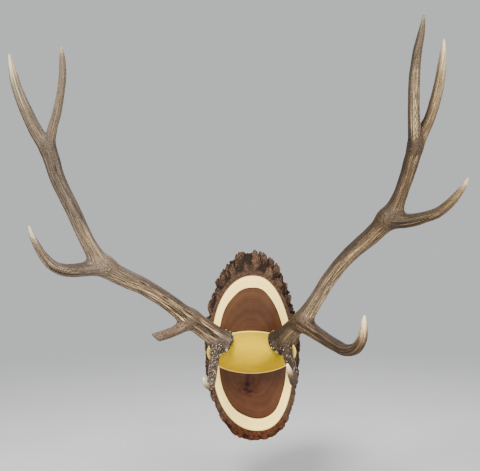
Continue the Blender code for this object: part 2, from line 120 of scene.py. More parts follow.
RIGHT_LOOKS = {
    "beam": dict(
        ridges=(0.3, 0.6, 0.8, 0.6, 0.8, 0.43, 0.1), tones=(0.19, 0.33, 0.5, 0.26, 0.25, 0.45, 0.62),
        pearls=(0.3, 0.25, 0.15, 0.1, 0, 0, 0), grey=(0, 0.1, 0.6, 0, 0, 0.05, 0.1), warm=0.2,
        ivory_from=0.94, lean=0.2),
    "crown_inner": dict(
        ridges=(0.6, 0.9, 0.9, 0.7, 0.5, 0.29, 0.1), tones=(0.17, 0.24, 0.4, 0.39, 0.25, 0.32, 0.38),
        pearls=0, grey=0.4, warm=0, ivory_from=0.98, lean=0.22),
    "trez": dict(
        ridges=(0.3, 0.4, 0.5, 0.9, 0.7, 0.38, 0.1), tones=(0.26, 0.21, 0.14, 0.19, 0.4, 0.54, 0.66),
        pearls=(0.1, 0, 0, 0, 0, 0, 0), grey=0, warm=0.2, ivory_from=0.93, lean=0.1),
    "bez": dict(
        ridges=(0.4, 0.7, 0.8, 0.7, 0.6, 0.33, 0.1), tones=(0.24, 0.23, 0.2, 0, 0.19, 0.54, 0.86),
        pearls=(0.4, 0.3, 0.1, 0, 0, 0, 0), grey=0, warm=0.5, ivory_from=0.84, lean=0.16),
    "brow": dict(
        ridges=(0.3, 0.3, 0.4, 0.4, 0.4, 0.29, 0.2), tones=(0.2, 0.21, 0.2, 0.22, 0.27, 0.42, 1.1),
        pearls=(0.3, 0.6, 0.7, 0.7, 0.5, 0.23, 0), grey=(0.1, 0.1, 0.1, 0.1, 0.2, 0.36, 0.5),
        warm=(0.3, 0.3, 0.3, 0.3, 0.4, 0.72, 1), ivory_from=0.91, lean=0),
}


def smooth_line(stations, spacing):
    """Points x, y, z, radius along the centripetal Catmull-Rom curve through the stations."""
    s = [np.array(station, float) * MM for station in stations]
    s = [2 * s[0] - s[1], *s, 2 * s[-1] - s[-2]]
    line = []
    for four in zip(s, s[1:], s[2:], s[3:]):
        t = np.cumsum([0.0] + [np.linalg.norm((b - a)[:3]) ** 0.5 for a, b in zip(four, four[1:])])
        steps = max(1, ceil(np.linalg.norm((four[2] - four[1])[:3]) / spacing))
        for u in np.linspace(t[1], t[2], steps, endpoint=False):
            a = [four[i] + (four[i + 1] - four[i]) * (u - t[i]) / (t[i + 1] - t[i]) for i in range(3)]
            b = [a[i] + (a[i + 1] - a[i]) * (u - t[i]) / (t[i + 2] - t[i]) for i in range(2)]
            line.append(b[0] + (b[1] - b[0]) * (u - t[1]) / (t[2] - t[1]))
    line.append(s[-2])
    return np.array(line)


def framed(line):
    """The line's centres and radii, with its direction and two directions across it at every point."""
    centres, radii = line[:, :3], line[:, 3]
    ahead = np.gradient(centres, axis=0)
    ahead /= np.linalg.norm(ahead, axis=1)[:, None]
    across = np.cross(ahead[0], (0, 0, 1))
    rows = []
    for direction in ahead:
        across = across - direction * (across @ direction)
        across = across / np.linalg.norm(across)
        rows.append(across)
    across = np.array(rows)
    steps = np.linalg.norm(np.diff(centres, axis=0), axis=1)
    along = np.concatenate(([0.0], np.cumsum(steps)))
    return {"centres": centres, "radii": radii, "ahead": ahead, "across": across,
            "over": np.cross(ahead, across), "along": along, "length": along[-1],
            "taper": np.gradient(radii, along)}


def follow(line, points):
    """For each point: height over the line's surface, distance along it, and which way round it lies."""
    nearest = np.empty(len(points), int)
    for start in range(0, len(points), 4000):
        block = points[start:start + 4000]
        gap = ((block[:, None] - line["centres"][None]) ** 2).sum(2)
        nearest[start:start + 4000] = gap.argmin(1)
    away = points - line["centres"][nearest]
    forward = (away * line["ahead"][nearest]).sum(1)
    last = len(line["centres"]) - 1
    back, on = (np.where(nearest == end, 0, STATION_STEP) for end in (0, last))
    step = np.clip(forward, -back, on)
    x = (away * line["across"][nearest]).sum(1)
    y = (away * line["over"][nearest]).sum(1)
    radius = line["radii"][nearest] + line["taper"][nearest] * step
    out = np.hypot(x, y)
    height = np.hypot(out, forward - step) - radius
    even = EVEN_RADIUS / np.maximum(out, MM)
    return height, line["along"][nearest] + step, x * even, y * even


def blended(a, b, reach):
    """The smooth union of two surfaces, and how far the second one has taken over."""
    share = np.clip(0.5 + 0.5 * (a - b) / reach, 0, 1)
    return a + (b - a) * share - reach * share * (1 - share), share


def burr_height(line, points):
    """Height over the ring of the burr, and over the plane behind it where the antler ends."""
    away = points - line["centres"][0]
    up = away @ line["ahead"][0]
    away = away - line["drop"]
    x, y = away @ line["across"][0], away @ line["over"][0]
    angle = np.arctan2(y, x)
    lump = 0.7 * MM * (np.sin(5 * angle + 1) + 0.8 * np.sin(9 * angle + 2))
    ring = np.hypot(np.hypot(x, y) - BURR_RING - lump, up + 0.5 * MM) - BURR_TUBE
    return ring, -up - BURR_BASE


def beyond_break(points):
    """How far each point lies past the slanting face where the left bez tine broke off."""
    dent = 0.9 * MM * noise_at(points * 150)
    return (points - BREAK_POINT) @ (BREAK_FACING / np.linalg.norm(BREAK_FACING)) + dent


def antler_surface(lines, points, broken):
    """Height of each point over the whole antler, with the beam's and the nearest tine's own coordinates."""
    height, *beam = follow(lines["beam"], points)
    beam_height, nearest = height, np.full(len(points), np.inf)
    tine, tine_name = [np.zeros(len(points)) for _ in beam], np.zeros(len(points), int)
    for number, (name, line) in enumerate(lines.items()):
        if name == "beam":
            continue
        other, *place = follow(line, points)
        if name == "bez" and broken:
            other = np.maximum(other, beyond_break(points))
        height = blended(height, other, FORK_BLEND * (0.6 if name == "crown_inner" else 1.0))[0]
        nearer = other < nearest
        tine = [np.where(nearer, new, old) for new, old in zip(place, tine)]
        tine_name = np.where(nearer, number, tine_name)
        nearest = np.minimum(nearest, other)
    tine_share = blended(beam_height, nearest + 1.5 * MM, 8 * MM)[1]
    ring, behind = burr_height(lines["beam"], points)
    height = blended(height, ring, BURR_BLEND)[0]
    return np.maximum(height, behind), beam, tine, tine_name, tine_share


def strip(builder, lower, upper):
    """A band of faces between two closed rings of points."""
    turned = [ring[1:] + ring[:1] for ring in (lower, upper)]
    return [builder.faces.new((a, b, d, c)) for a, b, c, d in zip(lower, turned[0], upper, turned[1])]


def tube(builder, line, broken, sides=16):
    """A rough closed tube along a line, from which the bone's grid is grown. The broken one is cut off."""
    rings = []
    for i in range(0, len(line["centres"]), 2):
        centre, across, over = (Vector(line[key][i]) for key in ("centres", "across", "over"))
        turns = [2 * pi * k / sides for k in range(sides)]
        rings.append([builder.verts.new(centre + (across * cos(t) + over * sin(t)) * line["radii"][i])
                      for t in turns])
    faces = [builder.faces.new(rings[0][::-1]), builder.faces.new(rings[-1])]
    for lower, upper in zip(rings, rings[1:]):
        faces += strip(builder, lower, upper)
    if broken:
        edges = {edge for face in faces for edge in face.edges}
        parts = [*sum(rings, []), *edges, *faces]
        cut = bmesh.ops.bisect_plane(
            builder, geom=parts, plane_co=BREAK_POINT, plane_no=BREAK_FACING, clear_outer=True)["geom_cut"]
        bmesh.ops.holes_fill(builder, edges=[part for part in cut if isinstance(part, bmesh.types.BMEdge)])


def new_object(name, mesh):
    made = bpy.data.objects.new(name, mesh)
    bpy.context.scene.collection.objects.link(made)
    return made


def built(name, builder):
    """A new object from the faces in a builder, which is emptied."""
    mesh = bpy.data.meshes.new(name)
    builder.to_mesh(mesh)
    builder.free()
    return new_object(name, mesh)


def plain_mesh(made, name):
    """Replaces an object by the plain mesh that its modifiers make."""
    graph = bpy.context.evaluated_depsgraph_get()
    mesh = bpy.data.meshes.new_from_object(made.evaluated_get(graph))
    old = made.data
    made.modifiers.clear()
    made.data = mesh
    bpy.data.meshes.remove(old)
    made.name = mesh.name = name
    return made


def coordinates(mesh):
    flat = np.empty(len(mesh.vertices) * 3)
    mesh.vertices.foreach_get("co", flat)
    return flat.reshape(-1, 3)


def normals(mesh):
    flat = np.empty(len(mesh.vertices) * 3, np.float32)
    mesh.vertex_normals.foreach_get("vector", flat)
    return flat.reshape(-1, 3).astype(float)


def set_coordinates(mesh, points):
    mesh.vertices.foreach_set("co", points.ravel())
    mesh.update()


def attribute(mesh, name, values):
    """Stores one number or one vector for each vertex."""
    values = np.asarray(values, np.float32)
    kind, field = ("FLOAT", "value") if values.ndim == 1 else ("FLOAT_VECTOR", "vector")
    made = mesh.attributes.new(name, kind, "POINT")
    made.data.foreach_set(field, values.ravel())


def fade(value, low, high):
    """Smooth step from 0 at low to 1 at high."""
    t = np.clip((value - low) / (high - low), 0, 1)
    return t * t * (3 - 2 * t)


def noise_at(points):
    return np.array([noise.noise(Vector(p)) for p in points])


def bone_relief(line, look, seed, ridge_scale, facing, along, x, y):
    """What the bone is like at each point: relief from -1 in a groove to 1, its height, tone and so on."""
    share = along / line["length"]
    ridges, tones, pearls, grey, warm = (
        np.interp(share, SHARES, np.broadcast_to(look[key], len(SHARES)))
        for key in ("ridges", "tones", "pearls", "grey", "warm"))
    slow = noise_at(np.stack((x * ridge_scale + seed, y * ridge_scale, along * 2.2), 1))
    quick = noise_at(np.stack((x * 280 + seed, y * 280 + 5, along * 6), 1))
    off = np.abs(slow + 0.1 * quick)
    furrow, crest = np.exp(-(off / 0.075) ** 2), np.exp(-((off - 0.2) / 0.1) ** 2)
    relief = 0.9 * crest - 0.7 * furrow
    turned = fade(facing, 0.0, 0.55)
    height = ridges * (0.15 + 0.85 * turned)
    tone = tones + look["lean"] * (turned - 0.5)
    begins = look["ivory_from"]
    ivory = fade(share + 0.1 * quick + 0.05 * relief, begins - 0.05, begins + 0.05)
    return relief, np.stack((tone, height, pearls), 1), np.stack((grey, warm, ivory), 1)


def grow_antler(side, stations, looks, finish):
    """One antler as a fine closed skin, with what its finish needs stored on its points."""
    lines = {name: framed(smooth_line(rows, STATION_STEP)) for name, rows in stations.items()}
    broken = side == "left"
    builder = bmesh.new()
    for name, line in lines.items():
        tube(builder, line, broken and name == "bez")
    beam = lines["beam"]
    beam["drop"] = BURR_DROP[side]
    base, up = Vector(beam["centres"][0]), Vector(beam["ahead"][0])
    bmesh.ops.create_cone(
        builder, cap_ends=True, segments=48, radius1=BURR_RING + BURR_TUBE, radius2=BURR_RING + BURR_TUBE,
        depth=12 * MM, matrix=up.to_track_quat("Z", "Y").to_matrix().to_4x4())
    for vertex in builder.verts[-96:]:
        vertex.co += base - up * 0.5 * MM + Vector(BURR_DROP[side])
    antler = built(side + "_antler", builder)
    grid = antler.modifiers.new("Grid", "REMESH")
    grid.mode = "VOXEL"
    grid.voxel_size = BONE_GRID
    antler = plain_mesh(antler, side + "_antler")
    mesh = antler.data

    points = coordinates(mesh)
    for _ in range(4):
        height = antler_surface(lines, points, broken)[0]
        points = points - normals(mesh) * np.clip(height, -2 * MM, 2 * MM)[:, None] * 0.85
        set_coordinates(mesh, points)

    _, beam_place, tine_place, tine_name, tine_share = antler_surface(lines, points, broken)
    facing = normals(mesh) @ RIDGED_SIDE[side]
    seed = 3 if broken else 17
    layers = list(bone_relief(beam, looks["beam"], seed, BEAM_RIDGES, facing, *beam_place))
    for number, (name, line) in enumerate(lines.items()):
        chosen = (tine_name == number) & (tine_share > 0)
        if name == "beam" or not chosen.any():
            continue
        place = [part[chosen] for part in tine_place]
        seen = normals(mesh)[chosen] @ BEZ_RIDGED_SIDE if name == "bez" else facing[chosen]
        tine = bone_relief(line, looks[name], 31 * number, TINE_RIDGES, seen, *place)
        share = tine_share[chosen]
        for layer, part in zip(layers, tine):
            mix = share if part.ndim == 1 else share[:, None]
            layer[chosen] = layer[chosen] * (1 - mix) + part * mix
    relief, look_of, stain = layers
    at_fork = 4 * tine_share * (1 - tine_share)
    root = fade(beam_place[0], 8 * MM, 62 * MM)
    look_of[:, 1] *= (1 - 0.85 * at_fork) * (0.2 + 0.8 * root)
    attribute(mesh, "pearl", look_of[:, 2])
    look_of[:, 2] = np.maximum(look_of[:, 2], 0.25 * at_fork)

    lumps = 0.5 * noise_at(points * 42) + 0.16 * noise_at(points * 170)
    grains = fade(0.5 - np.array([noise.voronoi(Vector(p) * 260)[0][0] for p in points]), 0, 0.5)
    lift = relief * look_of[:, 1] + lumps + 0.7 * look_of[:, 2] * grains
    set_coordinates(mesh, points + normals(mesh) * lift[:, None] * MM)

    flows = [np.stack((x, y, along * 0.028), 1) for along, x, y in (beam_place, tine_place)]
    attribute(mesh, "beam_flow", flows[0])
    attribute(mesh, "tine_flow", flows[1])
    attribute(mesh, "tine_share", tine_share)
    attribute(mesh, "relief", relief * np.clip(look_of[:, 1], 0.08, 1))
    attribute(mesh, "bone_look", look_of)
    attribute(mesh, "stain", stain)
    bez = list(lines).index("bez")
    at_break = (np.abs(beyond_break(points)) < 0.9 * MM) & (tine_name == bez) & (tine_share > 0.9)
    attribute(mesh, "broken", at_break & broken)
    mesh.materials.append(finish)
    mesh.shade_smooth()
    return antler, lines


def add(tree, kind, inputs=(), **settings):
    """Adds a node. Each input is a socket's name or number with a value or the socket that feeds it."""
    made = tree.nodes.new(kind)
    for name, value in settings.items():
        setattr(made, name, value)
    for key, value in dict(inputs).items():
        socket = made.inputs[key]
        if isinstance(value, bpy.types.NodeSocket):
            tree.links.new(value, socket)
        else:
            socket.default_value = value
    return made


def figure(tree, operation, first, second=0.0, clamp=False):
    return add(tree, "ShaderNodeMath", {0: first, 1: second}, operation=operation, use_clamp=clamp).outputs[0]


def times(tree, first, second, clamp=False):
    return figure(tree, "MULTIPLY", first, second, clamp)


def split(tree, vector):
    """The x, y and z of a vector."""
    return add(tree, "ShaderNodeSeparateXYZ", {0: vector}).outputs


def ramp(tree, value, *stops):
    """A colour ramp; each stop is a place and a colour."""
    made = add(tree, "ShaderNodeValToRGB", {0: value})
    band = made.color_ramp
    while len(band.elements) < len(stops):
        band.elements.new(1.0)
    for element, (place, colour) in zip(band.elements, stops):
        element.position = place
        element.color = (*colour, 1.0)
    return made.outputs[0]


def mixed(tree, share, first, second, mode="MIX"):
    made = tree.nodes.new("ShaderNodeMix")
    made.data_type, made.blend_type = "RGBA", mode
    for socket, value in ((made.inputs[0], share), (made.inputs[6], first), (made.inputs[7], second)):
        if isinstance(value, bpy.types.NodeSocket):
            tree.links.new(value, socket)
        else:
            socket.default_value = value if isinstance(value, (int, float)) else (*value, 1.0)
    return made.outputs[2]


def tinted(tree, colour, tint):
    return mixed(tree, 1.0, colour, tint, "MULTIPLY")


def read(tree, name, output="Fac"):
    return add(tree, "ShaderNodeAttribute", attribute_name=name).outputs[output]


def grain(tree, place, scale, detail=3.0, rough=0.55):
    inputs = {"Vector": place, "Scale": scale, "Detail": detail, "Roughness": rough}
    return add(tree, "ShaderNodeTexNoise", inputs).outputs[0]


def finish_of(name):
    """A new material, its node tree, its Principled shader and its place in object coordinates."""
    made = bpy.data.materials.new(name)
    made.use_nodes = True
    tree = made.node_tree
    place = add(tree, "ShaderNodeTexCoord").outputs["Object"]
    return made, tree, tree.nodes["Principled BSDF"], place


def coated(tree, shader, colour, roughness, shine=0.5):
    """Gives the shader its colour, its roughness (a number or a socket) and its shine."""
    tree.links.new(colour, shader.inputs["Base Color"])
    if isinstance(roughness, float):
        shader.inputs["Roughness"].default_value = roughness
    else:
        tree.links.new(roughness, shader.inputs["Roughness"])
    shader.inputs["Specular IOR Level"].default_value = shine


def roughened(tree, shader, height, distance, strength=1.0):
    bump = add(tree, "ShaderNodeBump", {"Height": height, "Distance": distance, "Strength": strength})
    tree.links.new(bump.outputs[0], shader.inputs["Normal"])


def step(tree, value, low, high):
    """Smooth step from 0 at low to 1 at high."""
    spread = {"Value": value, "From Min": low, "From Max": high}
    return add(tree, "ShaderNodeMapRange", spread, interpolation_type="SMOOTHSTEP").outputs[0]


def furrows(tree, value, width):
    """Dark along the lines where the noise crosses its middle and pale beside them: -1 to 1, 0 elsewhere."""
    off = figure(tree, "ABSOLUTE", figure(tree, "SUBTRACT", value, 0.5))
    rising, falling = step(tree, off, 0.3 * width, width), step(tree, off, 1.2 * width, 2.4 * width)
    return weighed(tree, rising, (falling, -1.0), step(tree, off, 0.0, width), -1.0)


def weighed(tree, *parts):
    """The sum of the parts: each is a value and its weight, a value alone or a plain number."""
    total = None
    for part in parts:
        term = times(tree, *part) if isinstance(part, tuple) else part
        total = term if total is None else figure(tree, "ADD", total, term)
    return total


def bone_finish():
    """Grey-brown bone: dark grooves, rubbed tan ridges, a fine streaky grain and ivory tips."""
    made, tree, shader, place = finish_of("antler_bone")
    tine_share = read(tree, "tine_share")
    share = step(tree, tine_share, 0.3, 0.7)
    at_fork = times(tree, tine_share, weighed(tree, 4.0, (tine_share, -4.0)))
    along = weighed(tree, 1.0, (at_fork, -0.85))
    flows = [read(tree, name, "Vector") for name in ("beam_flow", "tine_flow")]
    wide, narrow, hair = (
        mixed(tree, share, *[grain(tree, flow, scale, detail) for flow in flows])
        for scale, detail in ((230, 1.0), (560, 1.5), (1700, 3.0)))
    narrow, hair = (mixed(tree, along, (0.5, 0.5, 0.5), streaks) for streaks in (narrow, hair))
    speck = grain(tree, place, 480, 4.0, 0.7)
    cloud = grain(tree, place, 14, 3.0)
    tone, height, pearl = split(tree, read(tree, "bone_look", "Vector"))
    grey_share, warm_share, ivory = split(tree, read(tree, "stain", "Vector"))
    relief = read(tree, "relief")
    wide_line, narrow_line = furrows(tree, wide, 0.05), furrows(tree, narrow, 0.06)
    grooved = times(tree, height, 0.85, clamp=True)
    grooves = times(tree, weighed(tree, (wide_line, 0.3), (narrow_line, 0.14)), along)
    dots = add(tree, "ShaderNodeTexVoronoi", {"Vector": place, "Scale": 250.0}).outputs["Distance"]
    dots = times(tree, weighed(tree, (dots, -1.0), 0.42), pearl)
    level = weighed(tree, tone, (relief, 0.4), (grooves, weighed(tree, (grooved, 0.8), 0.14)), (hair, 0.3),
                    (speck, weighed(tree, 0.6, (at_fork, 0.7))), (at_fork, -0.33), (cloud, 0.25),
                    (narrow, 0.3), dots, -0.725)
    brown = ramp(tree, level, (0.0, (0.009, 0.0048, 0.0024)), (0.25, (0.031, 0.0195, 0.0095)),
                 (0.5, (0.082, 0.053, 0.027)), (0.75, (0.235, 0.16, 0.076)), (1.0, (0.64, 0.48, 0.25)))
    grey = ramp(tree, level, (0.0, (0.011, 0.007, 0.005)), (0.25, (0.036, 0.0262, 0.019)),
                (0.5, (0.092, 0.069, 0.051)), (0.75, (0.26, 0.19, 0.115)), (1.0, (0.68, 0.52, 0.29)))
    bone = mixed(tree, grey_share, brown, grey)
    tip_level = weighed(tree, (narrow, 0.6), (hair, 0.35), (relief, 0.1), (tone, 0.6), -0.36)
    tan = ramp(tree, tip_level,
               (0.38, (0.09, 0.06, 0.03)), (0.5, (0.29, 0.23, 0.12)), (0.62, (0.57, 0.49, 0.28)))
    white = ramp(tree, tip_level, (0.38, (0.16, 0.12, 0.075)), (0.5, (0.38, 0.33, 0.22)),
                 (0.62, (0.69, 0.615, 0.4)), (0.76, (0.96, 0.88, 0.62)))
    tip = mixed(tree, figure(tree, "ADD", grey_share, 0.3, clamp=True), tan, white)
    bone = mixed(tree, ivory, bone, tip)
    bone = mixed(tree, warm_share, bone, tinted(tree, bone, (1.12, 0.9, 0.82)))
    inside = ramp(tree, speck, (0.4, (0.08, 0.043, 0.024)), (0.6, (0.28, 0.19, 0.13)))
    bone = mixed(tree, read(tree, "broken"), bone, inside)
    coated(tree, shader, bone, weighed(tree, 0.66, (level, -0.2), (ivory, -0.12)), 0.2)
    fine = weighed(tree, (times(tree, grooves, weighed(tree, grooved, 0.3)), 1.5), (hair, 0.3),
                   (speck, 0.4), (dots, 2.0))
    damped = weighed(tree, 1.0, (ivory, -0.75))
    roughened(tree, shader, times(tree, fine, damped), 0.9 * MM, 0.9)
    return made


bone = bone_finish()
antlers = {}
for side, stations, looks in (("left", LEFT_LINES, LEFT_LOOKS), ("right", RIGHT_LINES, RIGHT_LOOKS)):
    antler, lines = grow_antler(side, stations, looks, bone)
    antlers[side] = (antler, lines)
    bez = "bez_stub" if side == "left" else "bez_tine"
    parts = ("lower_beam", "upper_beam", "crown_outer_tine", "crown_inner_tine", "trez_tine", bez,
             "brow_tine")
    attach(antler, "root")
    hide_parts(*(f"{side}_{part}" for part in parts))

# Pearls: small knobs of bone that crowd the rim of each burr and grow on the beam's root and the brow
# tines. They grew with the antler. Each is a flattened bead, set by the burr's rim or by the pearly skin.
RIM_PEARL = 1.7 * MM
SKIN_PEARL = 1.05 * MM


def geometry_tree(name, sizes):
    """A geometry node tree with one object input and these named sizes."""
    tree = bpy.data.node_groups.new(name, "GeometryNodeTree")
    tree.interface.new_socket("Geometry", in_out="INPUT", socket_type="NodeSocketGeometry")
    for label, kind in sizes:
        tree.interface.new_socket(label, in_out="INPUT", socket_type="NodeSocket" + kind)
    tree.interface.new_socket("Geometry", in_out="OUTPUT", socket_type="NodeSocketGeometry")
    return tree, tree.nodes.new("NodeGroupInput").outputs


def grown(made, tree, values, geometry, name, finish):
    """Ends the tree in realized instances with a material, runs it on the object and keeps the plain mesh."""
    real = add(tree, "GeometryNodeRealizeInstances", {0: geometry}).outputs[0]
    last = add(tree, "GeometryNodeSetMaterial", {0: real, 2: finish}).outputs[0]
    add(tree, "NodeGroupOutput", {0: last})
    modifier = made.modifiers.new(name, "NODES")
    modifier.node_group = tree
    labels = {item.name: item.identifier for item in tree.interface.items_tree if item.in_out == "INPUT"}
    for label, value in values.items():
        modifier[labels[label]] = value
    return plain_mesh(made, name)


def random_value(tree, low, high, seed):
    made = add(tree, "FunctionNodeRandomValue", {"Min": low, "Max": high, "Seed": seed}, data_type="FLOAT")
    return made.outputs["Value"]


def bead(tree, radius, detail):
    return add(tree, "GeometryNodeMeshIcoSphere", {"Radius": radius, "Subdivisions": detail}).outputs[0]


def stored(tree, name):
    """A number stored on the mesh's points."""
    return add(tree, "GeometryNodeInputNamedAttribute", {"Name": name}, data_type="FLOAT").outputs[0]


def scattered(tree, points, instance, normal, scale):
    """The instance on every point, its flat axis along the normal."""
    turn = add(tree, "FunctionNodeAlignRotationToVector", {"Vector": normal}, axis="Z").outputs[0]
    made = add(tree, "GeometryNodeInstanceOnPoints",
               {"Points": points, "Instance": instance, "Rotation": turn, "Scale": scale})
    shade = random_value(tree, 0.0, 1.0, 8)
    return add(tree, "GeometryNodeStoreNamedAttribute",
               {"Geometry": made.outputs[0], "Name": "shade", "Value": shade},
               data_type="FLOAT", domain="INSTANCE").outputs[0]


def size_vector(tree, x, y, z):
    return add(tree, "ShaderNodeCombineXYZ", {0: x, 1: y, 2: z}).outputs[0]


def skin_pearls(side, antler):
    """Pearls scattered where the skin's pearling is strong."""
    tree, inputs = geometry_tree(side + "_skin_pearls", (("Radius", "Float"), ("Seed", "Int")))
    pearl = stored(tree, "pearl")
    spread = add(tree, "GeometryNodeDistributePointsOnFaces",
                 {"Mesh": inputs["Geometry"], "Distance Min": 3.1 * MM, "Density Max": 150000.0,
                  "Density Factor": step(tree, pearl, 0.45, 0.95), "Seed": inputs["Seed"]},
                 distribute_method="POISSON")
    size = random_value(tree, 0.6, 1.35, 3)
    scale = size_vector(tree, size, size, times(tree, size, 0.55))
    points, normal = spread.outputs["Points"], spread.outputs["Normal"]
    beads = scattered(tree, points, bead(tree, inputs["Radius"], 1), normal, scale)
    made = new_object(side + "_skin_pearls", antler.data.copy())
    return grown(made, tree, {"Radius": SKIN_PEARL, "Seed": 5}, beads, side + "_skin_pearls", pearl_bone)


def rim_pearls(side, lines):
    """Rows of larger beads round the rim of the burr, each on the bone's surface."""
    beam = lines["beam"]
    base, up, across, over = (beam[key][0] for key in ("centres", "ahead", "across", "over"))
    starts, ways = [], []
    for row, (count, lift) in enumerate(((40, -0.5), (37, 3.0), (37, -3.8))):
        for k in range(count):
            angle = 2 * pi * (k + 0.37 * row) / count + 0.05 * sin(3.1 * k + row)
            ways.append(across * cos(angle) + over * sin(angle))
            starts.append(base + beam["drop"] + ways[-1] * BURR_RING + up * (lift + 0.6 * sin(2.3 * k)) * MM)
    points, ways = np.array(starts), np.array(ways)
    for _ in range(4):
        points = points - ways * antler_surface(lines, points, side == "left")[0][:, None]
    mesh = bpy.data.meshes.new(side + "_rim")
    mesh.from_pydata([tuple(point) for point in points], [], [])
    made = new_object(side + "_rim_pearls", mesh)
    tree, inputs = geometry_tree(side + "_rim_pearls", (("Radius", "Float"), ("Centre", "Vector")))
    position = add(tree, "GeometryNodeInputPosition").outputs[0]
    outward = add(tree, "ShaderNodeVectorMath", {0: position, 1: inputs["Centre"]},
                  operation="SUBTRACT").outputs[0]
    wide, deep = random_value(tree, 0.7, 1.25, 1), random_value(tree, 0.9, 1.5, 2)
    scale = size_vector(tree, wide, wide, deep)
    points = add(tree, "GeometryNodeMeshToPoints", {0: inputs["Geometry"]}).outputs[0]
    beads = scattered(tree, points, bead(tree, inputs["Radius"], 3), outward, scale)
    values = {"Radius": RIM_PEARL, "Centre": tuple(base + beam["drop"])}
    return grown(made, tree, values, beads, side + "_rim_pearls", rim_bone)


def pearl_finish(name, pale_from, dark, light):
    """Pearl bone: rubbed pale or stained dark from bead to bead."""
    made, tree, shader, place = finish_of(name)
    shade = read(tree, "shade")
    fine = grain(tree, place, 1500, 3.0)
    level = weighed(tree, (shade, 0.8), (fine, 0.3), -0.05)
    between = tuple(0.75 * d + 0.25 * v for d, v in zip(dark, light))
    colour = ramp(tree, level, (pale_from - 0.3, dark), (pale_from, between), (pale_from + 0.17, light))
    coated(tree, shader, colour, 0.55, 0.2)
    roughened(tree, shader, fine, 0.3 * MM, 0.6)
    return made


pearl_bone = pearl_finish("pearl_bone", 0.56, (0.06, 0.043, 0.031), (0.68, 0.57, 0.45))
rim_bone = pearl_finish("rim_bone", 0.76, (0.016, 0.009, 0.005), (0.8, 0.67, 0.48))
for side, (antler, lines) in antlers.items():
    for pearls in (skin_pearls(side, antler), rim_pearls(side, lines)):
        pearls.data.shade_smooth()
        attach(pearls, "root")

# Hide cover: one oval of soft yellow buckskin, drawn tight over the skull plate and glued down behind it,
# with a hole for each pedicle. It puckers round the holes, and its pale cut edge shows all the way round.
SLICE_THICKNESS = 25 * MM
COVER_HALF_WIDTH = 105 * MM
COVER_HALF_HEIGHT = 50 * MM
COVER_HEIGHT = 48 * MM
COVER_THICKNESS = 2.2 * MM
COVER_FLANGE = 0.955
COLLAR = (50 * MM, 22 * MM, 17 * MM, 24 * MM)
PEDICLE_RADIUS = 20 * MM
SLEEVE_LENGTH = 46 * MM


def cover_point(rho, angle, inset):
    """A point of the hide: rho runs from the top of the dome out to the flat edge glued to the wood."""
    x, z = COVER_HALF_WIDTH * rho * cos(angle), COVER_HALF_HEIGHT * rho * sin(angle)
    inner = min(1.0, rho / COVER_FLANGE)
    rise = COVER_HEIGHT * (1 - inner ** 2.4) ** 0.62
    pucker = 0.0
    for side in (-1, 1):
        away = hypot(x - side * COLLAR[0], z - COLLAR[1])
        rise += COLLAR[2] * exp(-0.5 * (away / COLLAR[3]) ** 2) * (1 - inner ** 6)
        fold = atan2(z - COLLAR[1], x - side * COLLAR[0])
        pucker += 0.5 * MM * exp(-(away / (34 * MM)) ** 4) * sin(9 * fold + 2 * sin(3 * fold))
    sag = 0.9 * MM * noise.noise(Vector((x * 28, z * 28, 3.0)))
    sag += 0.25 * MM * noise.noise(Vector((x * 120, z * 120, 1)))
    rise += (pucker + sag) * (1 - inner ** 8) + COVER_THICKNESS - inset
    drawn_in = inset * float(1 - fade(rho, 0.9, 0.96))
    return Vector((x * (1 - drawn_in / COVER_HALF_WIDTH), -SLICE_THICKNESS - 0.3 * MM - rise,
                   z * (1 - drawn_in / COVER_HALF_HEIGHT)))


def rod(name, low, high, radius):
    """A round rod between two points."""
    builder = bmesh.new()
    turn = (high - low).to_track_quat("Z", "Y").to_matrix().to_4x4()
    bmesh.ops.create_cone(builder, cap_ends=True, segments=72, radius1=radius, radius2=radius,
                          depth=(high - low).length, matrix=Matrix.Translation((low + high) / 2) @ turn)
    return built(name, builder)


def fan(builder, middle, ring):
    """Closes a ring of points with faces round a middle point."""
    for here, following in zip(ring, ring[1:] + ring[:1]):
        builder.faces.new((middle, following, here))


def worked(made, name, tools):
    """Joins or cuts an object with one tool after another, and clears the tools away."""
    for operation, tool in tools:
        cut = made.modifiers.new(tool.name, "BOOLEAN")
        cut.operation, cut.object, cut.solver = operation, tool, "EXACT"
    made = plain_mesh(made, name)
    for _, tool in tools:
        bpy.data.objects.remove(tool)
    return made


